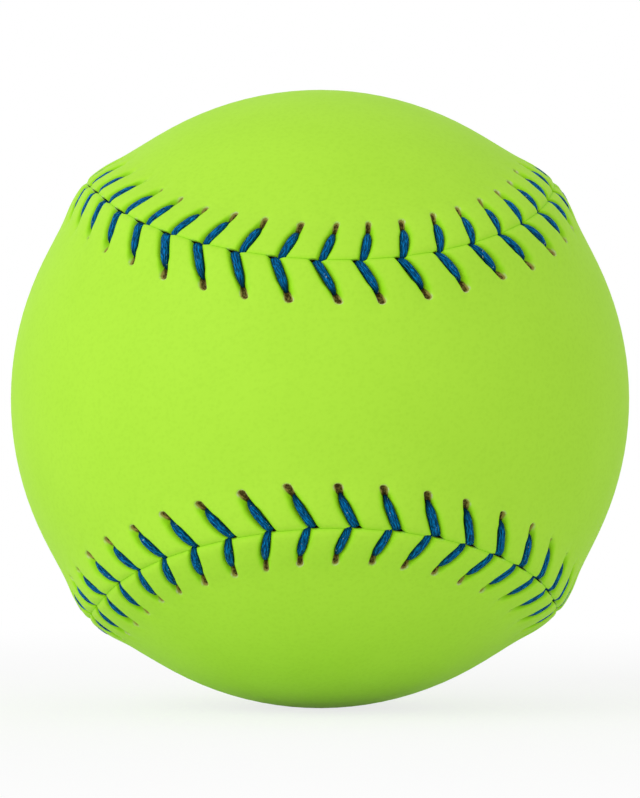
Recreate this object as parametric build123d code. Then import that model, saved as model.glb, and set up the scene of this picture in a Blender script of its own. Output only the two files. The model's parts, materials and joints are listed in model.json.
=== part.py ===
from build123d import *
import os
from math import acos, atan2, cos, degrees, pi, radians, sin, sqrt, tan

# A twelve-inch softball: a moulded foam core in a thin latex coat, and over it two figure-eight cover
# panels on their backing, sewn edge to edge by two waxed threads. Sizes are millimetres and degrees.
# The origin is the centre of the ball and +Z is up. The narrow waist of the front cover faces -Y, the
# waist of the back cover faces +Y, and the ball looks the same after half a turn about Y.

# The ball and its layers, from the leather inwards
CIRCUMFERENCE = 304.8
COVER_THICKNESS = 1.1
BACKING_THICKNESS = 0.5
COAT_THICKNESS = 0.3

# The seam, measured over the leather
WAIST_WIDTH = 39.0
SEAM_TILT = 6.8
SEAM_RISE = 1.2
SEAM_REACH = 9.0
SEAM_GAP = 0.25

# The stitches: each is a V of two legs, one on either cover
STITCHES = 88
FIRST_STITCH = 0.92
STITCH_REACH = 5.2
STITCH_LEAN = 2.8
LEG_SPACING = 1.55
THREAD_DIAMETER = 0.9
THREAD_BEND = 0.6
THREAD_ROOM = 0.1
TAIL_SHARE = 0.4

CENTRE = Vector(0, 0, 0)
FRONT = Vector(0, -1, 0)
RADIUS = CIRCUMFERENCE / (2 * pi)
BACKING_RADIUS = RADIUS - COVER_THICKNESS
COAT_RADIUS = BACKING_RADIUS - BACKING_THICKNESS
CORE_RADIUS = COAT_RADIUS - COAT_THICKNESS


class SeamArc:
    """One arc of the seam: a direction from the ball's centre, turned about an axis through it."""

    def __init__(self, axis, start, turn):
        self.axis = axis
        self.start = start
        self.turn = turn
        self.length = abs(turn) * RADIUS * axis.cross(start).length

    def out(self, share):
        return self.start.rotate(Axis(CENTRE, self.axis), degrees(self.turn * share))

    def along(self, share):
        forward = self.axis.cross(self.out(share)).normalized()
        return forward if self.turn > 0 else -forward

    def swapped(self):
        """The same arc on the next quarter of the seam, where the two covers change places."""
        axis, start = (Vector(-v.Z, -v.Y, v.X) for v in (self.axis, self.start))
        return SeamArc(axis, start, -self.turn)


def seam_arcs():
    """Four round lobes joined by four straight runs, all tangent. A run lies on a great circle and leans
    by SEAM_TILT at the middle, where it crosses from the front half of the ball to the back half. The
    lobe between two runs comes within half the waist's width of the front."""
    tilt = radians(SEAM_TILT)
    diagonal = sqrt(0.5)
    nearest = pi / 2 - WAIST_WIDTH / 2 / RADIUS
    lobe = atan2(
        diagonal * cos(tilt) * cos(nearest) + sin(tilt) * sin(nearest),
        1 - diagonal * cos(tilt) * sin(nearest) + sin(tilt) * cos(nearest),
    )
    rise = nearest - lobe
    crossing = Vector(diagonal, 0, diagonal)
    run_pole = Vector(-diagonal * cos(tilt), -sin(tilt), diagonal * cos(tilt))
    lobe_pole = Vector(0, -sin(rise), cos(rise))
    meeting = (lobe_pole - run_pole * lobe_pole.dot(run_pole)).normalized()
    half_run = acos(crossing.dot(meeting))
    half_lobe = atan2(meeting.X, -meeting.Y * cos(rise) - meeting.Z * sin(rise))
    run_start = crossing.rotate(Axis(CENTRE, run_pole), degrees(half_run))
    arcs = [SeamArc(-run_pole, run_start, 2 * half_run), SeamArc(-lobe_pole, meeting, 2 * half_lobe)]
    for quarter in range(3):
        arcs += [arc.swapped() for arc in arcs[-2:]]
    return arcs


SEAM = seam_arcs()
SEAM_LENGTH = sum(arc.length for arc in SEAM)
PITCH = SEAM_LENGTH / STITCHES


def spot(along, aside, height):
    """A point so far along the seam, so far aside from it towards the front cover, and so high."""
    along %= SEAM_LENGTH
    for arc in SEAM:
        if along <= arc.length:
            break
        along -= arc.length
    out = arc.out(along / arc.length)
    across = out.cross(arc.along(along / arc.length))
    angle = aside / RADIUS
    return (out * cos(angle) + across * sin(angle)) * (RADIUS + height)


# The raised strip along the seam is round across: its circle passes through the crest and both edges
CREST = RADIUS + SEAM_RISE
EDGE_HALF_WIDTH = RADIUS * sin(SEAM_REACH / RADIUS)
EDGE_DROP = CREST - RADIUS * cos(SEAM_REACH / RADIUS)
RIDGE_RADIUS = (EDGE_HALF_WIDTH**2 + EDGE_DROP**2) / (2 * EDGE_DROP)
RIDGE_CENTRE = CREST - RIDGE_RADIUS


def leather_height(aside):
    """Height of the leather over the plain ball, so far aside from the seam."""
    angle = aside / RADIUS
    ridge = RIDGE_CENTRE * cos(angle) + sqrt(RIDGE_RADIUS**2 - (RIDGE_CENTRE * sin(angle)) ** 2)
    return max(ridge - RADIUS, 0)


def along_seam(profile):
    """A profile carried along the whole seam: X is across the seam and Y is out from the centre."""
    pieces = []
    for arc in SEAM:
        across = arc.start.cross(arc.along(0))
        plane = Plane(origin=CENTRE, x_dir=across, z_dir=across.cross(arc.start))
        pieces.append(revolve(plane * profile, Axis(CENTRE, arc.axis), degrees(arc.turn)))
    return pieces


def ball_form(depth):
    """The ball with its raised seam, all of it so deep under the leather."""
    ridge = RIDGE_RADIUS - depth
    floor = COAT_RADIUS - depth
    half_width = sqrt(ridge**2 - (floor - RIDGE_CENTRE) ** 2)
    bow = ThreePointArc((-half_width, floor), (0, RIDGE_CENTRE + ridge), (half_width, floor))
    segment = make_face(bow + Line((half_width, floor), (-half_width, floor)))
    return Sphere(RADIUS - depth) + along_seam(segment)


def seam_blade(half_width):
    """A blade along the seam that parts a shell into its front and back panels."""
    reach = 2 * (CREST - CORE_RADIUS)
    return along_seam(Pos(0, RADIUS) * Rectangle(2 * half_width, 2 * reach))


def front_and_back(shell, half_width):
    panels = (shell - seam_blade(half_width)).solids()
    return panels.sort_by_distance(FRONT * RADIUS)


# The thread runs over the leather and, under the raised seam, over the coat
THREAD_RADIUS = THREAD_DIAMETER / 2
HOLE_RADIUS = THREAD_BEND + THREAD_ROOM


def dip(run, radius):
    """How far the middle of a straight run sinks below a round surface."""
    return run**2 / (8 * radius)


UNDER_RUN = sqrt(STITCH_REACH**2 + (PITCH - STITCH_LEAN + LEG_SPACING) ** 2)
UNDER_HEIGHT = COAT_RADIUS - RADIUS + THREAD_RADIUS + dip(UNDER_RUN, COAT_RADIUS) + THREAD_ROOM / 2
HALF_LEG = sqrt(STITCH_REACH**2 + STITCH_LEAN**2) / 2
LEG_LIFT = THREAD_RADIUS + dip(HALF_LEG, RIDGE_RADIUS) + THREAD_ROOM / 2


def stitch_places(number, side):
    """Where along the seam a stitch has its hole, and where its leg on this side enters the seam."""
    place = FIRST_STITCH + number * PITCH
    entry = place if side > 0 else place - LEG_SPACING
    return place - STITCH_LEAN, entry


def stitch_points(number, side):
    """One stitch of thread: up through the hole, over the leather, and down into the seam."""
    hole, entry = stitch_places(number, side)
    asides = [STITCH_REACH, STITCH_REACH / 2, 0]
    places = [hole, (hole + entry) / 2, entry]
    leg = [spot(p, side * a, leather_height(a) + LEG_LIFT) for p, a in zip(places, asides)]
    below = spot(hole, side * STITCH_REACH, UNDER_HEIGHT)
    return [below] + leg + [spot(entry, 0, UNDER_HEIGHT)]


def rounded_path(points, radius):
    """Straight runs joined by tangent arcs of one radius."""
    edges = []
    last = points[0]
    for before, corner, after in zip(points, points[1:], points[2:]):
        back = (before - corner).normalized()
        onward = (after - corner).normalized()
        half_angle = radians(back.get_angle(onward)) / 2
        start = corner + back * (radius / tan(half_angle))
        end = corner + onward * (radius / tan(half_angle))
        middle = corner + (back + onward).normalized() * (radius / sin(half_angle) - radius)
        edges += [Line(last, start), ThreePointArc(start, middle, end)]
        last = end
    return Wire(edges + [Line(last, points[-1])])


def thread(first_side):
    """One thread, once round the ball: its stitches lie on the two covers in turn, and its two tails
    stop short of each other under the cover."""
    pieces = []
    length = 0
    for number in range(STITCHES):
        side = first_side if number % 2 == 0 else -first_side
        points = stitch_points(number, side)
        before = stitch_points(number - 1, -side)[-1]
        after = stitch_points(number + 1, -side)[0]
        start_share = TAIL_SHARE if number == 0 else 0.5
        end_share = TAIL_SHARE if number == STITCHES - 1 else 0.5
        start = points[0] + (before - points[0]) * start_share
        end = points[-1] + (after - points[-1]) * end_share
        path = rounded_path([start] + points + [end], THREAD_BEND)
        section = Plane(origin=start, z_dir=points[0] - start) * Circle(THREAD_RADIUS)
        pieces.append(sweep(section, path))
        length += path.length
    whole = pieces[0].fuse(*pieces[1:])
    print(f"thread length {length:.1f}, volume over section times length", end=" ")
    print(round(whole.volume / (length * pi * THREAD_RADIUS**2), 4))
    return whole


def punch(along, aside):
    """A round cutter through the cover, square to the ball."""
    middle = spot(along, aside, 0)
    return Plane(origin=middle, z_dir=middle) * Cylinder(HOLE_RADIUS, 4 * (CREST - BACKING_RADIUS))


def sewn_cover(panel, side):
    """A cover panel with the holes of its stitches and, at its edge, the notches where legs go down."""
    holes = []
    notches = []
    for number in range(STITCHES):
        hole, entry = stitch_places(number, side)
        opposite_entry = stitch_places(number, -side)[1]
        holes.append(punch(hole, side * STITCH_REACH))
        notches += [punch(entry, 0), punch(opposite_entry, 0)]
    return panel.cut(*holes).cut(*notches)


core = Sphere(CORE_RADIUS)
latex_coat = Sphere(COAT_RADIUS) - core
backing_shell = Sphere(BACKING_RADIUS) - Sphere(COAT_RADIUS)
front_backing, back_backing = front_and_back(backing_shell, EDGE_HALF_WIDTH)
cover_shell = ball_form(0) - ball_form(COVER_THICKNESS)
front_panel, back_panel = front_and_back(cover_shell, SEAM_GAP / 2)

nodes = {
    "core": core,
    "latex_coat": latex_coat,
    "front_backing": front_backing,
    "back_backing": back_backing,
    "front_cover": sewn_cover(front_panel, 1),
    "back_cover": sewn_cover(back_panel, -1),
    "first_thread": thread(1),
    "second_thread": thread(-1),
}

os.makedirs("parts", exist_ok=True)
for name, solid in nodes.items():
    export_step(solid, f"parts/{name}.step")
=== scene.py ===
"""A twelve-inch softball around its packed frame: two figure-eight covers of synthetic leather, sewn edge to
edge with two waxed threads, on a plain studio floor. Lengths are metres, in the frame of the packed ball."""

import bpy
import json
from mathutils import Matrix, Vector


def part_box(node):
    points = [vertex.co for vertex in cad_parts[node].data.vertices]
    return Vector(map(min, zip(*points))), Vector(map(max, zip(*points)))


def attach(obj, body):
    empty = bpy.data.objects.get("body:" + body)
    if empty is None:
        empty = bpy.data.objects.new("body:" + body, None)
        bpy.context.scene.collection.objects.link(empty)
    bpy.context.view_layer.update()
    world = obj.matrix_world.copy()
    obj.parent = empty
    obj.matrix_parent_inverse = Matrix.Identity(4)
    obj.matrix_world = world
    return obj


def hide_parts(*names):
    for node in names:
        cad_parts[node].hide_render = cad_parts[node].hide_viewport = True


bl_info = {
    "name": "Sewn softball",
    "version": (1, 0, 0),
    "blender": (4, 5, 0),
    "location": "3D View > Sidebar > Softball",
    "description": "Leather covers, waxed threads and a studio stage around the packed ball",
    "category": "Add Mesh",
}

import json
from math import acos, atan2, cos, pi, radians, sin, sqrt

import bpy
import numpy as np
from bpy.props import FloatProperty, FloatVectorProperty, IntProperty, PointerProperty
from mathutils import Vector

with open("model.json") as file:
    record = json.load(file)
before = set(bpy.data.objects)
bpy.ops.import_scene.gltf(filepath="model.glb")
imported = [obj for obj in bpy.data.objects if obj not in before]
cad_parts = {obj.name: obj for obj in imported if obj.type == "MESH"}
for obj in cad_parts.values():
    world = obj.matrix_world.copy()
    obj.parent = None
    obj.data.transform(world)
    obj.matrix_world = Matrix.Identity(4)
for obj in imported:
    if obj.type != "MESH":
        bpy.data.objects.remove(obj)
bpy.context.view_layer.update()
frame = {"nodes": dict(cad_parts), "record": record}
BALL_RADIUS = -frame["record"]["mounts"][0]["pos_m"][2]
COAT_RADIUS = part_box("latex_coat")[1].z


def length(name, description, default):
    return FloatProperty(name=name, description=description, default=default, unit="LENGTH", precision=5)


def angle(name, description, degrees):
    return FloatProperty(name=name, description=description, default=radians(degrees), subtype="ANGLE")


def power(name, description, default):
    return FloatProperty(name=name, description=description, default=default, unit="POWER")


def colour(name, description, default):
    return FloatVectorProperty(name=name, description=description, default=default, subtype="COLOR", size=3,
                               min=0, max=1)


class SeamSettings(bpy.types.PropertyGroup):
    """Sizes of the ball and of the seam between its covers."""

    radius: length("Ball radius", "Radius of the leather away from the seam", BALL_RADIUS)
    waist: length("Waist width", "Width of a cover at its narrow waist, over the leather", 0.039)
    tilt: angle("Seam tilt", "Lean of the seam where it crosses to the back half", 6.8)
    pull: length("Seam pull", "How far the front cover draws the seam in where it crosses over", 0.0014)
    pull_swing: length("Pull swing", "How much more that is at one end of a lobe than at the other", 0.0004)
    shoulder: length("Seam shoulder", "How far the seam stands out beside a lobe's middle", 0.00045)
    rise: length("Seam rise", "Height of the leather along the seam over the plain ball", 0.0015)
    spread: length("Seam spread", "Distance from the seam where the rise has fallen to a third", 0.0064)
    thickness: length("Cover thickness", "Thickness of the leather", 0.0011)
    edge: length("Edge rounding", "Radius of the leather's edge at the seam", 0.00007)


class StitchSettings(bpy.types.PropertyGroup):
    """Sizes of the V stitches and of the leather around them."""

    count: IntProperty(name="Stitches", description="Number of stitches round the seam", default=88, min=8)
    first: length("First stitch", "Place of the first V along the seam", 0.00092)
    lean: length("Front lean", "How far the hole in the front cover lies behind the V", 0.0033)
    back_lean: length("Back lean", "How far the hole in the back cover lies behind the V", 0.0030)
    spacing: length("Leg spacing", "How far the back leg enters the seam behind the front leg", 0.0008)
    swing: length("Spacing swing", "How much that spacing grows and shrinks along the seam", 0.0008)
    reach: length("Hole reach", "Distance from the seam to the far end of a hole", 0.0065)
    leg: length("Leg reach", "Distance from the seam to the end of the thread that shows", 0.0043)
    hole: length("Hole width", "Width of a hole at its far end", 0.00100)
    valley: length("Valley depth", "How deep a leg presses into the leather", 0.00105)
    flank: length("Valley flank", "How far the valley reaches past the thread on either side", 0.00016)
    puff: length("Puff", "How far the leather swells between the legs", 0.00015)
    crease: length("Crease", "How far the leather dips to the seam between the legs", 0.00012)
    width: length("Thread width", "Width of a leg of thread pulled flat", 0.00124)
    height: length("Thread height", "Height of a leg of thread pulled flat", 0.00114)


class FinishSettings(bpy.types.PropertyGroup):
    """Colours of the ball's pieces."""

    leather: colour("Leather", "Neon yellow-green face of the covers", (0.44, 0.8, 0.047))
    grain: colour("Leather grain", "Leather in the hollows of its grain", (0.22, 0.53, 0.01))
    # Painted shade: a deeper green for the leather beside a leg and along the seam
    shade: colour("Leather shade", "Leather beside a leg and at the seam", (0.3, 0.74, 0.002))
    # The brown backing in a hole, darkened as painted shade
    hole: colour("Hole", "Backing that shows in the holes", (0.044, 0.028, 0.005))
    # Frayed cloth in a hole, and painted light on its walls towards the far end
    tan: colour("Hole wall", "Frayed cloth on the walls of a hole", (0.36, 0.3, 0.07))
    lip: colour("Cut edge", "Pale cut edge of the leather at a hole and beside a V", (0.62, 0.6, 0.42))
    thread: colour("Thread", "Deep blue of the waxed thread", (0.001, 0.036, 0.09))
    fibre: colour("Fibre", "Lighter fibres along the thread", (0.002, 0.27, 0.73))
    backing: colour("Backing", "Non-woven cloth under the leather", (0.2, 0.12, 0.05))
    latex: colour("Latex", "Coat on the core", (0.55, 0.4, 0.2))
    foam: colour("Foam", "Moulded core", (0.75, 0.7, 0.55))


class StageSettings(bpy.types.PropertyGroup):
    """The camera and the lights."""

    distance: length("Camera distance", "From the ball's centre to the camera", 0.5821)
    azimuth: angle("Azimuth", "Camera's turn round the ball", -3.29)
    elevation: angle("Elevation", "Camera's height angle", -0.92)
    lens: FloatProperty(name="Lens", description="Focal length of the camera", default=166.8, unit="CAMERA")
    world: FloatProperty(name="World light", description="Even light from all round", default=0.7)
    key: power("Key light", "Power of the large soft light at the left", 7.8)
    fill: power("Fill light", "Power of the soft light at the right", 1.2)


def smooth_step(low, high, values):
    """0 below low, 1 above high and a smooth cubic between; low over high turns it round."""
    share = np.clip((values - low) / (high - low), 0, 1)
    return share * share * (3 - 2 * share)


def bell(values, width):
    """A bell curve: 1 at 0, and about a third at the width."""
    return np.exp(-((values / width) ** 2))


def unit(vectors):
    return vectors / np.linalg.norm(vectors, axis=-1, keepdims=True)


def next_quarter(vector):
    """The same direction on the next quarter of the seam, where the two covers change places."""
    return np.array([-vector[2], -vector[1], vector[0]])


# Distance from the seam over which the pull on it fades out
PULL_REACH = 0.018


class Seam:
    """The closed line between the covers: four round lobes joined by four straight runs, all tangent arcs on
    the ball. A run lies on a great circle, leans by the tilt where it crosses to the back half, and the lobe
    between two runs comes within half the waist's width of the front."""

    def __init__(self, seam):
        self.radius = seam.radius
        self.pull = seam.pull
        self.pull_swing = seam.pull_swing
        self.shoulder = seam.shoulder
        diagonal = sqrt(0.5)
        nearest = pi / 2 - seam.waist / 2 / seam.radius
        lean = diagonal * cos(seam.tilt)
        self.lobe = atan2(
            lean * cos(nearest) + sin(seam.tilt) * sin(nearest),
            1 - lean * sin(nearest) + sin(seam.tilt) * cos(nearest),
        )
        rise = nearest - self.lobe
        crossing = np.array([diagonal, 0, diagonal])
        run_pole = np.array([-lean, -sin(seam.tilt), lean])
        lobe_pole = np.array([0, -sin(rise), cos(rise)])
        meeting = unit(lobe_pole - run_pole * (lobe_pole @ run_pole))
        half_run = acos(crossing @ meeting)
        half_lobe = atan2(meeting[0], -meeting[1] * cos(rise) - meeting[2] * sin(rise))
        run_start = crossing * cos(half_run) + np.cross(run_pole, crossing) * sin(half_run)
        axes = [-run_pole, -lobe_pole]
        starts = [run_start, meeting]
        turns = [2 * half_run, 2 * half_lobe]
        for quarter in range(3):
            axes += [next_quarter(axis) for axis in axes[-2:]]
            starts += [next_quarter(start) for start in starts[-2:]]
            turns += [-turn for turn in turns[-2:]]
        self.axes = np.array(axes)
        self.starts = np.array(starts)
        self.turns = np.array(turns)
        lengths = abs(self.turns) * self.radius * np.linalg.norm(np.cross(self.axes, self.starts), axis=1)
        self.ends = np.cumsum(lengths)
        self.begins = self.ends - lengths
        self.length = self.ends[-1]
        self.lobe_middle = (self.begins[1] + self.ends[1]) / 2

    def lines(self, along):
        """The directions out, forward and across at places along the seam: an arc's start is turned about its
        axis by the arc's share of the way, forward is the axis crossed with it, and across, towards the front
        cover, is out crossed with forward."""
        along = along % self.length
        arc = np.minimum(np.searchsorted(self.ends, along, side="right"), len(self.ends) - 1)
        share = (along - self.begins[arc]) / (self.ends[arc] - self.begins[arc])
        turn = (self.turns[arc] * share)[..., None]
        axis = self.axes[arc]
        start = self.starts[arc]
        level = np.sum(axis * start, axis=-1, keepdims=True)
        out = start * np.cos(turn) + np.cross(axis, start) * np.sin(turn)
        out = out + axis * level * (1 - np.cos(turn))
        forward = unit(np.cross(axis, out)) * np.sign(self.turns[arc])[..., None]
        return out, forward, np.cross(out, forward)

    def swing(self, along):
        """The angle whose sine is 1 at one end of a lobe, -1 at the other and 0 at the lobes' middles."""
        return 4 * pi * (along - self.lobe_middle) / self.length

    def spot(self, along, aside, height):
        """Points so far along the seam, so far aside from it on a great circle square to it, and so high. All
        is drawn towards the front cover at the crossings, by a sine to the eighth power with a crest at each,
        and towards the back cover halfway to them, by a sine squared; both fade out away from the seam."""
        out, _, across = self.lines(along)
        swing = self.swing(along)
        drawn = (self.pull + self.pull_swing * np.sin(swing)) * np.sin(swing) ** 8
        drawn = drawn - self.shoulder * np.sin(2 * swing) ** 2
        aside = aside + drawn * bell(aside, PULL_REACH)
        turn = (aside / self.radius)[..., None]
        return (out * np.cos(turn) + across * np.sin(turn)) * (self.radius + height)[..., None]


# How far all Vs stand back and drift once round the ball, and how far ahead of their lean the holes lie,
# the front ones more at the one end of a lobe
STAND_BACK = 0.00045
DRIFT = 0.00025
HOLES_AHEAD = 0.0002
HOLES_DRAWN = 0.0006

# The seed of the unevenness by hand, and the most that it changes a stitch's place, reach, skew and size
SEED = 20
FRONT_ENTRY_UNEVEN = 0.00012
BACK_ENTRY_UNEVEN = 0.0002
HOLE_UNEVEN = 0.0003
REACH_UNEVEN = 0.00025
SKEW_UNEVEN = 0.0003
SIZE_UNEVEN = 0.07

# A leg's share of its full width at the seam: at a lobe's middle, how much more at its one end, and how
# much less at its other
FRONT_GATHERED = (0.86, 0.28, 0.48)
BACK_GATHERED = (0.7, 0.18, 0.33)

# By how much the holes draw shut towards the one end of a lobe, and between which values of the sine
HOLE_SHUT = 0.75
SHUT_RANGE = (0.5, 0.95)

# How much wider a leg is at both ends of a lobe, and how much higher at the other end
FULLER = 0.13
PROUDER = 0.13

# The power by which a leg bends, the shares of its length over which it grows full, and how much it draws
# in at the hole, over which shares
LEG_BEND = 1.25
FULL_RANGE = (0, 0.5)
DRAWN_IN = 0.36
DRAWN_RANGE = (0.75, 1.04)

# Distances from the seam between which a leg comes to press in, from its far end
PRESSED_RANGE = (0.0068, 0.0040)


class Stitching:
    """The stitches on one cover, side 1 for the front and -1 for the back: for every stitch where its leg
    enters the seam and where its hole lies, both from the V's place, with a small unevenness by hand. The
    stitches vary along the seam by a sine that is 1 at the one end of a lobe and -1 at the other: gathered is
    a leg's share of its width at the seam, gape how far the seam stands open ahead of a V, opened a hole's
    share of its width, full a leg's width and proud its height."""

    def __init__(self, seam, ball, stitch, side):
        self.seam = seam
        self.ball = ball
        self.stitch = stitch
        self.side = side
        self.pitch = seam.length / stitch.count
        self.places = stitch.first + np.arange(stitch.count) * self.pitch
        swing = np.sin(seam.swing(self.places))
        one_end = np.clip(swing, 0, 1)
        other_end = np.clip(-swing, 0, 1)
        drift = DRIFT * np.cos(seam.swing(self.places) / 2) - STAND_BACK
        holes = drift + HOLES_AHEAD
        uneven = np.random.default_rng(SEED + side).uniform(-1, 1, (5, stitch.count))
        if side > 0:
            self.entry = drift + FRONT_ENTRY_UNEVEN * uneven[0]
            self.hole = holes - stitch.lean + HOLES_DRAWN * one_end + HOLE_UNEVEN * uneven[1]
        else:
            swung = stitch.swing * swing
            self.entry = drift - stitch.spacing - swung + BACK_ENTRY_UNEVEN * uneven[0]
            self.hole = holes - stitch.back_lean - swung + HOLE_UNEVEN * uneven[1]
        middle, more, less = FRONT_GATHERED if side > 0 else BACK_GATHERED
        self.gathered = middle + more * one_end - less * other_end
        self.gape = one_end
        self.opened = 1 - HOLE_SHUT * smooth_step(*SHUT_RANGE, swing)
        self.full = 1 + FULLER * np.abs(swing)
        self.proud = 1 + PROUDER * other_end
        self.reach = stitch.reach + REACH_UNEVEN * uneven[2]
        self.skew = SKEW_UNEVEN * uneven[3]
        self.size = 1 + SIZE_UNEVEN * uneven[4]

    def between(self, values, number):
        """A stitch's value, passing straight to the next stitch's value for numbers between them."""
        low = np.floor(number).astype(int)
        share = number - low
        count = len(values)
        return values[low % count] * (1 - share) + values[(low + 1) % count] * share

    def leg_line(self, number, aside):
        """Where a leg's middle line lies along the seam from the V's place, so far aside, and its slope: it
        starts at the seam and bends to run square to it at the hole, as a power of what is left to go, and
        past the thread's end it skews a little."""
        entry = self.between(self.entry, number)
        hole = self.between(self.hole, number)
        reach = self.between(self.reach, number)
        left = np.clip(1 - aside / reach, 0, 1)
        beyond = np.clip(aside - self.stitch.leg, 0, reach - self.stitch.leg) / (reach - self.stitch.leg)
        line = entry + (hole - entry) * (1 - left**LEG_BEND) + self.between(self.skew, number) * beyond
        slope = (hole - entry) * LEG_BEND * left ** (LEG_BEND - 1) / reach
        return line, slope

    def thickness(self, number, aside):
        """Share of its full width that a leg has, so far aside: gathered at the seam, full from half of its
        length, and drawn in at the hole."""
        share = np.clip(aside / self.stitch.leg, 0, 1)
        gathered = self.between(self.gathered, number)
        full = gathered + (1 - gathered) * smooth_step(*FULL_RANGE, share)
        return full * (1 - DRAWN_IN * smooth_step(*DRAWN_RANGE, share))

    def ridge(self, aside):
        """Rise of the leather along the seam, a bell curve across it."""
        return self.ball.rise * bell(aside, self.ball.spread)

    def pressed(self, aside):
        """How deep a leg presses in, so far aside: full to near the end of the thread, then fading out."""
        return self.stitch.valley * smooth_step(*PRESSED_RANGE, aside)


# Columns of the strip beside the seam for each stitch, and how many of them meet one of the plain leather
COLUMNS = 24
FINER = 4

# The strip's width, and the distance from the seam at which its columns begin to even out
STRIP = 0.010
EVEN_FROM = 0.0074


def joined(lower, upper):
    """Faces between two closed rows of vertex numbers: quads where both are alike, and where one row has
    four times as many vertices, five triangles for each vertex of the coarse one."""
    if len(lower) == len(upper):
        return np.stack([lower, np.roll(lower, -1), np.roll(upper, -1), upper], axis=1).tolist()
    coarse, fine = (lower, upper) if len(lower) < len(upper) else (upper, lower)
    following = np.roll(coarse, -1)
    first, second, third, fourth = (fine[step::FINER] for step in range(FINER))
    fifth = np.roll(first, -1)
    fans = [
        (coarse, second, first),
        (coarse, third, second),
        (coarse, following, third),
        (following, fourth, third),
        (following, fifth, fourth),
    ]
    triangles = np.concatenate([np.stack(corners, axis=1) for corners in fans])
    return (triangles if coarse is lower else triangles[:, ::-1]).tolist()


def make_piece(name, points, faces, material):
    """A smooth mesh object at the origin with its place in its mesh."""
    mesh = bpy.data.meshes.new(name)
    mesh.from_pydata(points.tolist(), [], faces)
    mesh.shade_smooth()
    mesh.materials.append(material)
    piece = bpy.data.objects.new(name, mesh)
    bpy.context.scene.collection.objects.link(piece)
    return piece


def add_mask(piece, name, values):
    """Keeps one number for each vertex of a piece, for its material."""
    attribute = piece.data.attributes.new(name, "FLOAT", "POINT")
    attribute.data.foreach_set("value", values.astype(np.float32))


def strip_rows():
    """Distances of the strip's rows from the seam, close together at its edge and across the holes."""
    edge = 0.00032 * np.linspace(0, 1, 7) ** 1.5
    leg = np.linspace(0.0006, 0.0038, 9)
    hole = np.linspace(0.0041, 0.0070, 17)
    outside = np.array([EVEN_FROM, 0.0079, 0.0085, 0.0092, STRIP])
    return np.concatenate([edge, leg, hole, outside])


def column_steps(pitch):
    """Distances of the strip's columns from a leg's middle, close together where the leather rolls over."""
    under = np.linspace(0, 0.0006, 4)
    flank = np.linspace(0.00072, 0.0012, 5)
    between = [0.0015, 0.0020, 0.0025, pitch / 2]
    return np.concatenate([under, flank, between])


# The seam's opening: half the room of a leg, how far it stands open behind a V, ahead of it and further
# ahead at the one end of a lobe, its width shut and open, and how far aside that reaches
LEG_ROOM = 0.0006
OPEN_BEHIND = 0.0002
OPEN_AHEAD = 0.0004
GAPE_AHEAD = 0.0005
SHUT_WIDTH = 0.000005
OPEN_WIDTH = 0.00014
OPEN_REACH = 0.001

# The pale cut edge there: the distances past the front leg over which it comes in, and its width
CUT_RANGE = (-0.0001, 0.0004)
CUT_WIDTH = 0.00016


def seam_opening(stitching, other, number, beside, aside):
    """How far the covers part at the seam and the mask of the cut edge that shows there. The opening falls
    off straight, ahead of the V from the front leg and behind it from the back leg, and also aside."""
    front, back = (stitching, other) if stitching.side > 0 else (other, stitching)
    entry = stitching.between(stitching.entry, number) + beside
    past_front = entry - stitching.between(front.entry + LEG_ROOM * front.gathered, number)
    past_back = entry - stitching.between(back.entry - LEG_ROOM * back.gathered, number)
    gape = front.between(front.gape, number)
    ahead = 1 - past_front / (OPEN_AHEAD + GAPE_AHEAD * gape)
    behind = 1 + past_back / OPEN_BEHIND
    parted = np.clip(np.minimum(ahead, behind), 0, 1)
    opening = SHUT_WIDTH + OPEN_WIDTH * parted
    cut_edge = gape * np.sqrt(parted) * smooth_step(*CUT_RANGE, past_front)
    return opening * np.clip(1 - aside / OPEN_REACH, 0, 1), cut_edge * bell(aside, CUT_WIDTH)


# How far under the thread a hole starts, the share of its width there and what it gains to its far end, and
# the distances from its outline over which it comes in
HOLE_UNDER = 0.0005
HOLE_START = 0.42
HOLE_GAIN = 0.58
RIM_RANGE = (0.00012, -0.0001)

# The lip: its distance outside the outline, its width, and the shares of the hole's length where it comes in
LIP_OUTSIDE = 0.00006
LIP_WIDTH = 0.00007
LIP_RANGE = (0.6, 1.0)

# The painted light on a hole's far wall, where frayed cloth also shows: the shares of the hole's length where
# it comes in, and how much what lies past counts
LIT_WALL_RANGE = (0.4, 0.9)
LIT_WALL_PAST = 0.4


def hole_masks(stitching, number, aside, square):
    """The masks of the holes, the painted light on their far walls and their lips. A hole is a slot along the
    leg's line, round at its ends, that widens straight away from the seam; the rim is the distance from its
    outline."""
    stitch = stitching.stitch
    far = stitching.between(stitching.reach, number) - stitch.hole / 2
    start = stitch.leg - HOLE_UNDER
    inside = np.clip((aside - start) / (far - start), 0, 1)
    opened = stitching.between(stitching.opened, number)
    widening = HOLE_START + HOLE_GAIN * inside
    wide = stitch.hole / 2 * widening * opened * stitching.between(stitching.size, number)
    past = aside - np.clip(aside, start, far)
    rim = np.sqrt(square**2 + past**2) - wide
    hole = smooth_step(*RIM_RANGE, rim)
    # Painted light: the far end of a hole is lighter, as its far wall faces the light
    tan = smooth_step(*LIT_WALL_RANGE, inside + LIT_WALL_PAST * past / stitch.hole)
    lip = opened * bell(rim - LIP_OUTSIDE, LIP_WIDTH) * smooth_step(*LIP_RANGE, inside)
    return hole, tan, lip


# The fold that runs on past a leg: its depth, its width, and the distances from the seam where it comes in
FOLD_DEPTH = 0.00016
FOLD_WIDTH = 0.0011
FOLD_RANGE = (0.0095, 0.0055)

# Distances from the seam where the puff comes in near the seam and far from it, and the crease's width
PUFF_NEAR = (0, 0.001)
PUFF_FAR = (0.0074, 0.0036)
CREASE_WIDTH = 0.0004

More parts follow.
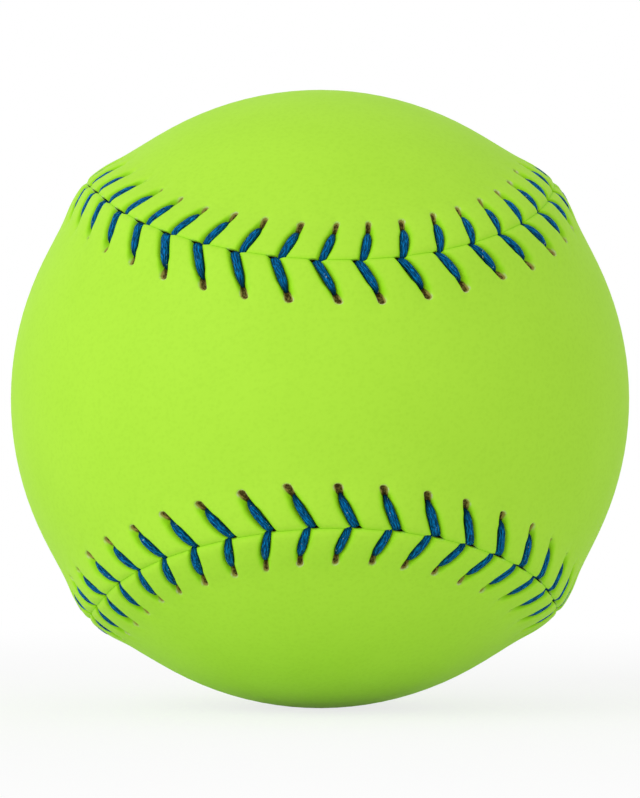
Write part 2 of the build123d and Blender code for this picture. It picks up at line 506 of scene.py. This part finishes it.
# A hole's depth, and the share of the valley that it takes up
PIT_DEPTH = 0.0005
PIT_FILL = 0.3

# The painted shade, a deeper green beside a leg and along the seam: how far past the valley it reaches, the
# distances from the seam where it comes in, and its share and width along the seam
SHADE_PAST = 0.00045
SHADE_RANGE = (0.0066, 0.0045)
SEAM_SHADE = 0.5
SEAM_SHADE_WIDTH = 0.00035


def cover_strip(stitching, other):
    """The leather beside the seam as a grid: columns follow the legs of the stitches, crowded towards them,
    and rows follow the seam. The height over the plain ball is the seam's bell curve, plus a puff between
    legs, less a steep valley under each leg, a soft fold that runs on past it, the crease, the round of the
    edge, and a pit at each hole. Returns the places along, the distances aside, the heights, and the masks of
    holes, the painted light on their far walls, cut edges and painted shade."""
    seam, ball, stitch = stitching.seam, stitching.ball, stitching.stitch
    pitch = stitching.pitch
    columns = COLUMNS * stitch.count
    offset = round((seam.lobe_middle - stitch.first) / pitch * COLUMNS) / COLUMNS
    number = (offset + np.arange(columns) / COLUMNS)[None, :]
    aside = strip_rows()[:, None] + 0 * number
    from_leg = number - np.round(number)
    steps = np.interp(np.abs(from_leg) * COLUMNS, np.arange(COLUMNS // 2 + 1), column_steps(pitch))
    beside = np.sign(from_leg) * steps + 0 * aside
    line, slope = stitching.leg_line(number, aside)
    sewn = stitch.first + pitch * np.round(number) + beside + line
    even = seam.lobe_middle + np.arange(columns)[None, :] * seam.length / columns
    along = sewn + (even - sewn) * smooth_step(EVEN_FROM, STRIP, aside)
    square = beside / np.sqrt(1 + slope**2)

    full = stitching.between(stitching.full, number)
    flank = stitch.width / 2 * full * stitching.thickness(number, aside) + stitch.flank
    leg = np.exp(-(np.abs(square / flank) ** 4))
    valley = stitching.pressed(aside) * leg
    fold = FOLD_DEPTH * bell(square, FOLD_WIDTH) * smooth_step(*FOLD_RANGE, aside)
    swell = smooth_step(*PUFF_NEAR, aside) * smooth_step(*PUFF_FAR, aside)
    puff = stitch.puff * np.sin(pi * from_leg) ** 2 * swell
    crease = stitch.crease * bell(aside, CREASE_WIDTH) * (1 - leg)
    edge = np.clip(1 - aside / ball.edge, 0, 1)
    round_off = ball.edge * (1 - np.sqrt(1 - edge**2))
    hole, tan, lip = hole_masks(stitching, number, aside, square)
    height = stitching.ridge(aside) + puff - fold - crease - round_off
    height = height - valley * (1 - PIT_FILL * hole) - PIT_DEPTH * hole

    opening, cut_edge = seam_opening(stitching, other, number, beside, aside)
    # Painted shade beside each leg, and weaker along the seam
    shade = np.exp(-((square / (flank + SHADE_PAST)) ** 4)) * smooth_step(*SHADE_RANGE, aside)
    shade = np.maximum(shade, SEAM_SHADE * bell(aside, SEAM_SHADE_WIDTH))
    masks = {"hole": hole, "tan": tan, "lip": np.maximum(lip, cut_edge), "shade": shade}
    return along, aside + opening, height, masks


# Rows of the plain leather, and distances from the seam of the inner face's rows under the strip
FIELD_ROWS = 12
INNER_ROWS = (0.003, 0.006, STRIP)


def middle_rows(stitching):
    """The plain leather from the strip to the cover's middle line, on even columns. Each column runs square
    to the seam until it meets the plane of symmetry, or the lobe's centre where it starts on the cover's own
    lobe. Returns the places, the distances aside, and for the last row which column stands for each one."""
    seam, side = stitching.seam, stitching.side
    columns = COLUMNS * stitching.stitch.count // FINER
    number = np.arange(columns)
    along = seam.lobe_middle + number * seam.length / columns
    out, _, across = seam.lines(along)
    plane = 2 if side > 0 else 0
    lobes = (1, 3) if side > 0 else (0, 2)
    middle = np.arctan2(np.abs(out[:, plane]), np.abs(across[:, plane])) * seam.radius
    partner = (columns // 2 * (side > 0) - number) % columns
    stands_for = np.minimum(number, partner)
    half_lobe = (seam.ends[1] - seam.begins[1]) / 2
    half_way = seam.length / 2
    for quarter in lobes:
        centre = columns * quarter // 4
        away = np.abs((along - along[centre] + half_way) % seam.length - half_way)
        own = away <= half_lobe
        middle[own] = seam.lobe * seam.radius
        stands_for[own] = centre
    shares = np.linspace(0, 1, FIELD_ROWS + 1)[1:, None]
    aside = STRIP + (middle - STRIP)[None, :] * shares
    return along[None, :] + 0 * aside, aside, stands_for


# The inner face: its share of the rise, how much lower it is near the seam, and where that comes in
INNER_RISE = 0.3
EDGE_LOWER = 0.00025
LOWER_RANGE = (0.009, 0.0065)


def cover_mesh(name, stitching, other, material):
    """One closed cover: rows run from the middle line of its inner face to its sewn edge, up over the edge
    and across the outer face to the middle line again."""
    seam, ball, side = stitching.seam, stitching.ball, stitching.side
    along, aside, height, masks = cover_strip(stitching, other)
    field_along, field_aside, stands_for = middle_rows(stitching)

    def inner_height(distance):
        lower = EDGE_LOWER * smooth_step(*LOWER_RANGE, distance)
        return INNER_RISE * stitching.ridge(distance) - ball.thickness - lower

    strip = seam.spot(along, side * aside, height)
    field = seam.spot(field_along, side * field_aside, stitching.ridge(field_aside))
    foot = inner_height(aside[0])
    wall_height = np.stack([height[0] * 0.5 + foot * 0.5, foot])
    wall = seam.spot(along[[0, 0]], side * aside[[0, 0]], wall_height)
    under = np.array(INNER_ROWS)[:, None] + 0 * field_along[:1]
    under = np.concatenate([under, field_aside[1::2]])
    inner = seam.spot(field_along[:1] + 0 * under, side * under, inner_height(under))

    blocks = [inner[::-1], wall[::-1], strip, field]
    points = np.concatenate([block.reshape(-1, 3) for block in blocks])
    rows = []
    for block in blocks:
        begun = rows[-1][-1] + 1 if rows else 0
        rows += list(begun + np.arange(block.shape[0] * block.shape[1]).reshape(block.shape[:2]))
    rows[0] = rows[0][stands_for]
    rows[-1] = rows[-1][stands_for]
    faces = [face for lower, upper in zip(rows, rows[1:]) for face in joined(lower, upper)]
    faces = [list(dict.fromkeys(face)) for face in faces]
    faces = [face if side > 0 else face[::-1] for face in faces if len(face) > 2]
    kept, renumbered = np.unique(np.concatenate(faces), return_inverse=True)
    cuts = np.cumsum([len(face) for face in faces])[:-1]
    faces = [face.tolist() for face in np.split(renumbered, cuts)]
    piece = make_piece(name, points[kept], faces, material)
    for mask, values in masks.items():
        # The inner face and the wall at the seam take the hole's colour, the backing darkened as painted
        # shade
        below = np.full(inner.size // 3 + wall.size // 3, float(mask == "hole"))
        whole = np.concatenate([below, values.ravel(), np.zeros(field.size // 3)])
        add_mask(piece, mask, whole[kept])
    return piece


# Sides of the thread's section, and its stations for each stitch: up through the hole, along the leg and
# down into the seam as shares of the leg's reach, and under the other cover as shares of the way
SIDES = 12
HOLE_SHARES = (1.06, 1.08, 1.05)
LEG_SHARES = np.linspace(1, 0.07, 8)
SEAM_SHARES = (0.02, 0, 0)
CROSSING_SHARES = (1 / 3, 2 / 3)

# Shares of the thread's width in the hole and at the end of its way down, and of its height: in the hole,
# on the way down, what any leg keeps and what goes with its width
HOLE_TAPER = (0.45, 0.42, 0.45)
DOWN_TAPER = 0.6
HOLE_HEIGHT = (0.4, 0.45)
DOWN_HEIGHT = (0.75, 0.55, 0.4, 0.4)
LEAST_HEIGHT = 0.45
WIDTH_HEIGHT = 0.55

# How high the thread runs over the coat, and its shares of that depth at the four stations under the leather
OVER_COAT = 0.00025
DEPTHS = (1, 0.5, 0.3, 1)

# Shares of the leg's reach over which its two ends sink, and over which they take painted shade
HOLE_END = (0.8, 1)
SEAM_END = (0.3, 0.05)
SHADED_HOLE_END = (0.85, 1.03)
SHADED_SEAM_END = (0.12, 0)

# How far a leg sinks in its valley, more at its ends, and dips by the hole, by the seam and in it
SINKS = 0.00006
SINKS_AT_HOLE = 0.00016
SINKS_AT_SEAM = 0.00015
DIPS = (0.0004, 0.0002, 0.0007)

# Shares by which the section's flat side turns from the leg to the seam, and by which it widens there
SEAMWARD = (0, 0, 0, 0, 0, 0, 0, 0, 0.15, 0.5, 0.9, 1, 1, 0.8, 0.3, 0)
WIDER_AT_SEAM = 0.25


def thread_mesh(name, front, back, first_side, material):
    """One thread, once round the ball. A flat oval carried along a path: for each stitch up through the hole,
    over the leather in the valley, down into the seam, and under the other cover to that cover's next hole.
    The oval's width lies square to the leg and it narrows at the hole and at the seam. The end shade mask
    marks the two ends of each leg, for painted shade where it goes down."""
    seam, stitch = front.seam, front.stitch
    numbers = np.arange(stitch.count)
    on_front = (numbers % 2 == 0) == (first_side > 0)
    side = np.where(on_front, 1, -1)[:, None]

    def pick(value_of):
        return np.where(on_front[:, None], value_of(front), value_of(back))

    below, rising, leaving = range(3)
    last, entering, sinking, landed = range(10, 14)
    asides = np.concatenate([HOLE_SHARES, LEG_SHARES, SEAM_SHARES]) * stitch.leg
    asides = np.repeat(asides[None, :], stitch.count, axis=0)
    reached = asides / stitch.leg
    share = np.clip(reached, 0, 1)
    size = pick(lambda cover: (cover.full * cover.size)[:, None])
    taper = pick(lambda cover: cover.thickness(numbers[:, None], asides))
    taper[:, :leaving + 1] = HOLE_TAPER
    taper[:, landed] = DOWN_TAPER
    width = stitch.width * size * taper
    proud = pick(lambda cover: cover.proud[:, None])
    tall = stitch.height * proud * (LEAST_HEIGHT + WIDTH_HEIGHT * taper)
    tall[:, :leaving] = stitch.height * np.array(HOLE_HEIGHT)
    tall[:, last:] = stitch.height * np.array(DOWN_HEIGHT)
    under = COAT_RADIUS + OVER_COAT - seam.radius
    lying = pick(lambda cover: cover.ridge(asides) - cover.pressed(asides)) + tall / 2 - SINKS
    height = lying - SINKS_AT_HOLE * smooth_step(*HOLE_END, share)
    height = height - SINKS_AT_SEAM * smooth_step(*SEAM_END, share)
    height[:, [below, rising, sinking, landed]] = under * np.array(DEPTHS)
    dipping = [leaving, last, entering]
    height[:, dipping] = lying[:, dipping] - DIPS
    line = pick(lambda cover: cover.leg_line(numbers[:, None], asides)[0])
    centres = seam.spot(front.places[:, None] + line, side * asides, height)

    following = np.roll(centres[:, below], -1, axis=0)
    steps = np.array(CROSSING_SHARES)[None, :, None]
    crossing = centres[:, landed:] * (1 - steps) + following[:, None] * steps
    crossing = unit(crossing) * (seam.radius + under)
    centres = np.concatenate([centres, crossing], axis=1)
    # Painted shade at both ends of each leg, where it goes down into the hole and the seam
    end_shade = smooth_step(*SHADED_HOLE_END, reached) + smooth_step(*SHADED_SEAM_END, reached)
    end_shade, width, tall = (np.pad(row, ((0, 0), (0, len(CROSSING_SHARES))), mode="edge")
                         for row in (end_shade, width, tall))

    early, middle, late = 4, 6, 9
    flat = unit(np.cross(centres[:, middle], centres[:, late] - centres[:, early]))
    forward = seam.lines(front.places)[1]
    forward = forward * np.sign(np.sum(forward * flat, axis=1, keepdims=True))
    turned = np.sign(np.sum(flat * np.roll(flat, 1, axis=0), axis=1))
    turned[0] = 1
    turned = np.cumprod(turned)[:, None]
    seamward = np.array(SEAMWARD)[None, :, None]
    flat = (turned * flat)[:, None] * (1 - seamward) + (turned * forward)[:, None] * seamward
    width = width * (1 + WIDER_AT_SEAM * seamward[:, :, 0])
    path = centres.reshape(-1, 3)[:-1]
    ahead = unit(np.gradient(path, axis=0))
    flat = flat.reshape(-1, 3)[:-1]
    flat = unit(flat - ahead * np.sum(flat * ahead, axis=1, keepdims=True))
    lift = np.cross(ahead, flat)
    turn = np.linspace(0, 2 * pi, SIDES, endpoint=False)[None, :, None]
    wide = width.ravel()[:-1, None, None] / 2
    high = tall.ravel()[:-1, None, None] / 2
    rings = path[:, None] + flat[:, None] * np.cos(turn) * wide + lift[:, None] * np.sin(turn) * high

    count = len(rings)
    corner = np.arange(count * SIDES).reshape(count, SIDES)
    following = np.roll(corner, -1, axis=1)
    quads = np.stack([corner[:-1], following[:-1], following[1:], corner[1:]], axis=-1).reshape(-1, 4)
    ends = [corner[0, ::-1].tolist(), corner[-1].tolist()]
    piece = make_piece(name, rings.reshape(-1, 3), quads.tolist() + ends, material)
    add_mask(piece, "end_shade", np.repeat(end_shade.ravel()[:-1], SIDES))

    travelled = np.concatenate([[0], np.cumsum(np.linalg.norm(np.diff(path, axis=0), axis=1))])
    around = np.arange(SIDES + 1) / SIDES
    left, right = around[None, :-1], around[None, 1:]
    here, onward = travelled[:-1, None], travelled[1:, None]
    corners = ((left, here), (right, here), (right, onward), (left, onward))
    spread = [np.stack(np.broadcast_arrays(*pair), axis=-1) for pair in corners]
    spread = np.stack(spread, axis=2).reshape(-1, 2)
    spread = np.concatenate([spread, np.zeros((2 * SIDES, 2))])
    layer = piece.data.uv_layers.new(name="UVMap")
    layer.data.foreach_set("uv", spread.astype(np.float32).ravel())
    return piece


class Value:
    """A number in a material: operators on it add Math nodes."""

    def __init__(self, finish, socket):
        self.finish = finish
        self.socket = socket

    def __add__(self, other):
        return self.finish.math("ADD", self, other)

    def __sub__(self, other):
        return self.finish.math("SUBTRACT", self, other)

    def __mul__(self, other):
        return self.finish.math("MULTIPLY", self, other)

    def __rsub__(self, other):
        return self.finish.math("SUBTRACT", other, self)

    __radd__ = __add__
    __rmul__ = __mul__


class Finish:
    """A node tree for a material or the world."""

    def __init__(self, owner):
        owner.use_nodes = True
        self.tree = owner.node_tree
        self.tree.nodes.clear()

    def add(self, kind, settings=None, sockets=None, output=0):
        """A node of a type: its settings first, then the values or links of its sockets. Gives an output."""
        node = self.tree.nodes.new(kind)
        for key, setting in (settings or {}).items():
            setattr(node, key, setting)
        for key, given in (sockets or {}).items():
            if isinstance(given, Value):
                self.tree.links.new(given.socket, node.inputs[key])
            else:
                node.inputs[key].default_value = given
        return Value(self, node.outputs[output]) if node.outputs else node

    def math(self, operation, *values):
        return self.add("ShaderNodeMath", {"operation": operation}, dict(enumerate(values)))

    def place(self):
        return self.add("ShaderNodeTexCoord", output="Object")

    def attribute(self, name):
        return self.add("ShaderNodeAttribute", {"attribute_name": name}, output="Fac")

    def mask(self, values, low, high):
        """0 to 1 as the values pass from low to high, smoothly."""
        limits = {"Value": values, "From Min": low, "From Max": high}
        return self.add("ShaderNodeMapRange", {"interpolation_type": "SMOOTHSTEP"}, limits)

    def mix(self, factor, first, second):
        """Passes from the first colour to the second."""
        first, second = (c if isinstance(c, Value) else (*c, 1) for c in (first, second))
        return self.add("ShaderNodeMix", {"data_type": "RGBA"}, {0: factor, 6: first, 7: second}, 2)

    def noise(self, place, scale, detail=2.0, roughness=0.5):
        sockets = {"Vector": place, "Scale": scale, "Detail": detail, "Roughness": roughness}
        return self.add("ShaderNodeTexNoise", {}, sockets)

    def bump(self, height, strength, distance):
        return self.add("ShaderNodeBump", {}, {"Height": height, "Strength": strength, "Distance": distance})

    def principled(self, sockets):
        self.surface(self.add("ShaderNodeBsdfPrincipled", {}, sockets))

    def surface(self, shader):
        self.add("ShaderNodeOutputMaterial", {}, {"Surface": shader})


# Shares by which the grain, the soft clouds and the painted shade change the leather's colour
GRAIN_TINT = 0.1
CLOUD_TINT = 0.12
SHADE_TINT = 0.9


def leather_finish(colours):
    """Satin synthetic leather: a fine pebbled grain with pores and soft clouds, painted shade in a deeper
    green where a leg presses in and along the seam, the brown backing in the holes darkened as painted shade,
    with frayed cloth and painted light on their walls, and a ragged pale edge where it is cut."""
    material = bpy.data.materials.new("cover_leather")
    finish = Finish(material)
    place = finish.place()
    hole, tan, lip, shade = (finish.attribute(name) for name in ("hole", "tan", "lip", "shade"))
    pebbles = {"Vector": place, "Scale": 1500.0}
    cells = finish.add("ShaderNodeTexVoronoi", {"feature": "SMOOTH_F1"}, pebbles)
    pores = finish.noise(place, scale=3200.0, detail=3.0)
    cloud = finish.noise(place, scale=90.0)
    grain = cells * 0.6 + pores * 0.4
    deep = finish.mask(grain, low=0.55, high=0.2)
    face = finish.mix(deep * GRAIN_TINT + cloud * CLOUD_TINT, colours.leather, colours.grain)
    # Painted shade: the leather passes to the deeper green beside the legs and along the seam
    face = finish.mix(finish.mask(shade, low=0.0, high=1.0) * SHADE_TINT, face, colours.shade)
    # In a hole the colour passes to the lighter one with frayed cloth, and as painted light on the walls and
    # towards the far end
    frayed = finish.noise(place, scale=3000.0, detail=4.0, roughness=0.75)
    wall = finish.mask(hole, low=1.0, high=0.85)
    lit_wall_and_fray_share = finish.mask(frayed + tan * (wall * 0.34 + 0.1), low=0.5, high=0.9)
    inside = finish.mix(lit_wall_and_fray_share, colours.hole, colours.tan)
    ragged = finish.mask(finish.noise(place, scale=900.0), low=0.35, high=0.65)
    face = finish.mix(lip * (0.3 + ragged * 0.7), face, colours.lip)
    # Painted shade: the holes take the darkened backing colour
    face = finish.mix(finish.mask(hole, low=0.2, high=0.6), face, inside)
    finish.principled({
        "Base Color": face,
        "Roughness": 0.58 + cloud * 0.1 + hole * 0.25,
        "Normal": finish.bump(grain * (1 - hole), strength=0.18, distance=0.00012),
        "Specular IOR Level": 0.12,
    })
    return material


# The thread's plies: how many go round it, how often they turn and how far they wander
PLIES = 8.0
PLY_TWIST = 150.0
PLY_WANDER = 2.4

# Its fibres: how many go round it, how often they turn, and how often they change along it
FIBRES = 52.0
FIBRE_TWIST = 800.0
FIBRE_LENGTHS = 1000.0

# The thread's painted shade colour as a share of its own, and how far its gaps, sides and ends go to it
SHADE_SHARE = 0.3
SHADED_GAPS = 0.75
SHADED_SIDES = 0.6
SHADED_ENDS = 0.7


def thread_finish(colours):
    """Waxed multifilament: twisted plies along the thread with finer fibres on them, some of them lighter,
    painted shade between the plies, on the thread's sides and where its legs go down, with a few pale specks."""
    material = bpy.data.materials.new("waxed_thread")
    finish = Finish(material)
    spread = finish.add("ShaderNodeUVMap", {"uv_map": "UVMap"})
    around, travelled = (finish.add("ShaderNodeSeparateXYZ", {}, {0: spread}, axis) for axis in "XY")
    place = finish.place()
    wander = finish.noise(place, scale=900.0)
    turn = around * PLIES + travelled * PLY_TWIST + wander * PLY_WANDER
    ply = finish.math("SINE", turn * (2 * pi)) * 0.5 + 0.5
    strand = around * FIBRES + travelled * FIBRE_TWIST
    fine = finish.add("ShaderNodeCombineXYZ", {}, {0: strand, 1: travelled * FIBRE_LENGTHS})
    fibre = finish.noise(fine, scale=1.0, detail=3.0, roughness=0.65)
    bright = finish.mask(fibre + ply * 0.1, low=0.48, high=0.76)
    body = finish.mix(bright, colours.thread, colours.fibre)
    # Painted shade on the thread's sides, where it rounds away
    upright = finish.math("ABSOLUTE", finish.math("SINE", around * (2 * pi)))
    side = finish.mask(upright, low=0.75, high=0.1)
    # Painted shade in the gaps between the plies
    gap_shade = finish.mask(ply * 0.5 + fibre, low=0.62, high=0.35)
    thread_shade = finish.math("MAXIMUM", gap_shade * SHADED_GAPS, side * SHADED_SIDES)
    # Painted shade at the ends of the legs
    thread_shade = finish.math("MAXIMUM", thread_shade, finish.attribute("end_shade") * SHADED_ENDS)
    # The thread passes to its painted shade colour
    body = finish.mix(thread_shade, body, [c * SHADE_SHARE for c in colours.thread])
    speck = finish.mask(finish.noise(place, scale=2600.0), low=0.7, high=0.76)
    body = finish.mix(speck * 0.7, body, colours.lip)
    finish.principled({
        "Base Color": body,
        "Roughness": 0.55 - bright * 0.12,
        "Normal": finish.bump(ply * 0.5 + fibre * 0.5, strength=0.6, distance=0.00012),
        "Specular IOR Level": 0.03,
    })
    return material


def layer_finish(name, shade, scale, roughness, depth):
    """A plain inner layer: its colour varies softly with its texture, which also lifts its surface."""
    material = bpy.data.materials.new(name)
    finish = Finish(material)
    texture = finish.noise(finish.place(), scale, detail=4.0, roughness=0.6)
    darker = [c * 0.8 for c in shade]
    finish.principled({
        "Base Color": finish.mix(finish.mask(texture, low=0.3, high=0.7), darker, shade),
        "Roughness": roughness + texture * 0.15,
        "Normal": finish.bump(texture, strength=0.4, distance=depth),
    })
    return material


def both_sides(context):
    ball, stitch = context.scene.softball_seam, context.scene.softball_stitch
    seam = Seam(ball)
    return [Stitching(seam, ball, stitch, side) for side in (1, -1)]


class SOFTBALL_OT_covers(bpy.types.Operator):
    """Make the front and back leather covers"""

    bl_idname = "softball.covers"
    bl_label = "Leather covers"

    def execute(self, context):
        leather = leather_finish(context.scene.softball_finish)
        ball = context.scene.softball_seam
        sides = both_sides(context)
        for stitching, other, name in zip(sides, sides[::-1], ("front", "back")):
            cover = cover_mesh(f"{name}_cover_leather", stitching, other, leather)
            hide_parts(f"{name}_cover")
            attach(cover, "root")
            flat = (2 * stitching.seam.lobe * ball.radius, 2 * pi * ball.radius - ball.waist)
            2 * pi * ball.radius**2
        return {"FINISHED"}


class SOFTBALL_OT_threads(bpy.types.Operator):
    """Make the two threads that sew the covers together"""

    bl_idname = "softball.threads"
    bl_label = "Waxed threads"

    def execute(self, context):
        waxed = thread_finish(context.scene.softball_finish)
        front, back = both_sides(context)
        for name, side in (("first", 1), ("second", -1)):
            thread = thread_mesh(f"{name}_thread_sewn", front, back, side, waxed)
            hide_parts(f"{name}_thread")
            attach(thread, "root")
        return {"FINISHED"}


class SOFTBALL_OT_layers(bpy.types.Operator):
    """Finish the layers under the leather: backing, latex coat and foam core"""

    bl_idname = "softball.layers"
    bl_label = "Inner layers"

    def execute(self, context):
        colours = context.scene.softball_finish
        cloth = layer_finish("backing_cloth", colours.backing, scale=2400.0, roughness=0.8, depth=0.0002)
        latex = layer_finish("latex", colours.latex, scale=300.0, roughness=0.35, depth=0.0002)
        foam = layer_finish("core_foam", colours.foam, scale=1500.0, roughness=0.8, depth=0.0003)
        layers = {"front_backing": cloth, "back_backing": cloth, "latex_coat": latex, "core": foam}
        for node, material in layers.items():
            layer = frame["nodes"][node]
            layer.data.materials.clear()
            layer.data.materials.append(material)
        return {"FINISHED"}


def soft_light(name, place, size, watts):
    """A square soft light that faces the ball."""
    lamp = bpy.data.lights.new(name, "AREA")
    lamp.shape = "SQUARE"
    lamp.size = size
    lamp.energy = watts
    light = bpy.data.objects.new(name, lamp)
    light.location = place
    light.rotation_euler = (-Vector(place)).to_track_quat("-Z", "Y").to_euler()
    bpy.context.scene.collection.objects.link(light)


def seen_directly(finish):
    """1 for what the camera sees, directly, mirrored or through glass, and 0 for light on the ball."""
    rays = ("Is Camera Ray", "Is Glossy Ray", "Is Transmission Ray")
    seen, mirrored, through = (finish.add("ShaderNodeLightPath", {}, {}, ray) for ray in rays)
    return finish.math("MAXIMUM", finish.math("MAXIMUM", seen, mirrored), through)


# The floor: half its width, how much of the ball's shadow the camera sees, and how far from the ball
FLOOR_HALF = 9
SHADOW_SEEN = 0.22
SHADOW_FULL = 0.1
SHADOW_OUT = 0.3

# Where the two soft lights stand, and their width
KEY_PLACE = (-1.0, -0.8, 0.62)
KEY_SIZE = 1.0
FILL_PLACE = (1.0, -0.9, 0.25)
FILL_SIZE = 0.9

# The camera's sensor in millimetres, and how near it sees
SENSOR_WIDTH = 36
NEAREST = 0.01


def floor_finish():
    """A pale floor that the camera sees as white, with the ball's soft shadow on it near the ball."""
    material = bpy.data.materials.new("studio_floor")
    finish = Finish(material)
    away = finish.add("ShaderNodeVectorMath", {"operation": "LENGTH"}, {0: finish.place()}, "Value")
    share = 1 - SHADOW_SEEN * finish.mask(away, low=SHADOW_OUT, high=SHADOW_FULL)
    seen = seen_directly(finish)
    lit = finish.add("ShaderNodeBsdfDiffuse", {}, {"Color": (0.96, 0.96, 0.96, 1)})
    white = finish.add("ShaderNodeEmission", {}, {"Color": (1, 1, 1, 1), "Strength": 1.0})
    finish.surface(finish.add("ShaderNodeMixShader", {}, {0: seen * share, 1: lit, 2: white}))
    return material


class SOFTBALL_OT_stage(bpy.types.Operator):
    """Make the floor, the soft lights, the world and the camera"""

    bl_idname = "softball.stage"
    bl_label = "Studio stage"

    def execute(self, context):
        scene = context.scene
        settings = scene.softball_stage
        low = -scene.softball_seam.radius
        corners = np.array([[-1, -1, 0], [1, -1, 0], [1, 1, 0], [-1, 1, 0]]) * FLOOR_HALF + [0, 0, low]
        floor = make_piece("studio_floor", corners, [[0, 1, 2, 3]], floor_finish())
        soft_light("key_light", KEY_PLACE, KEY_SIZE, settings.key)
        soft_light("fill_light", FILL_PLACE, FILL_SIZE, settings.fill)

        world = bpy.data.worlds.new("studio_world")
        scene.world = world
        finish = Finish(world)
        strength = settings.world + (1 - settings.world) * seen_directly(finish)
        even = finish.add("ShaderNodeBackground", {}, {"Color": (1, 1, 1, 1), "Strength": strength})
        finish.add("ShaderNodeOutputWorld", {}, {"Surface": even})

        lens = bpy.data.cameras.new("photo_camera")
        lens.lens = settings.lens
        lens.sensor_width = SENSOR_WIDTH
        lens.clip_start = NEAREST
        camera = bpy.data.objects.new("photo_camera", lens)
        back = Vector((sin(settings.azimuth) * cos(settings.elevation),
                       -cos(settings.azimuth) * cos(settings.elevation), sin(settings.elevation)))
        camera.location = back * settings.distance
        camera.rotation_euler = (-back).to_track_quat("-Z", "Y").to_euler()
        scene.collection.objects.link(camera)
        scene.camera = camera
        scene.view_settings.view_transform = "Standard"
        return {"FINISHED"}


class SOFTBALL_PT_panel(bpy.types.Panel):
    """Lists the ball's pieces and settings"""

    bl_idname = "SOFTBALL_PT_panel"
    bl_label = "Sewn softball"
    bl_space_type = "VIEW_3D"
    bl_region_type = "UI"
    bl_category = "Softball"

    def draw(self, context):
        for operator in OPERATORS:
            self.layout.operator(operator.bl_idname)
        for name, group in GROUPS.items():
            box = self.layout.box()
            box.label(text=group.__doc__)
            for prop in group.__annotations__:
                box.prop(getattr(context.scene, name), prop)


GROUPS = {
    "softball_seam": SeamSettings,
    "softball_stitch": StitchSettings,
    "softball_finish": FinishSettings,
    "softball_stage": StageSettings,
}
OPERATORS = (SOFTBALL_OT_covers, SOFTBALL_OT_threads, SOFTBALL_OT_layers, SOFTBALL_OT_stage)
CLASSES = (*GROUPS.values(), *OPERATORS, SOFTBALL_PT_panel)


def register():
    for group in CLASSES:
        bpy.utils.register_class(group)
    for name, group in GROUPS.items():
        setattr(bpy.types.Scene, name, PointerProperty(type=group))


def unregister():
    for name in GROUPS:
        delattr(bpy.types.Scene, name)
    for group in reversed(CLASSES):
        bpy.utils.unregister_class(group)


def main():
    register()
    bpy.ops.softball.covers()
    bpy.ops.softball.threads()
    bpy.ops.softball.layers()
    bpy.ops.softball.stage()


if __name__ == "__main__":
    main()
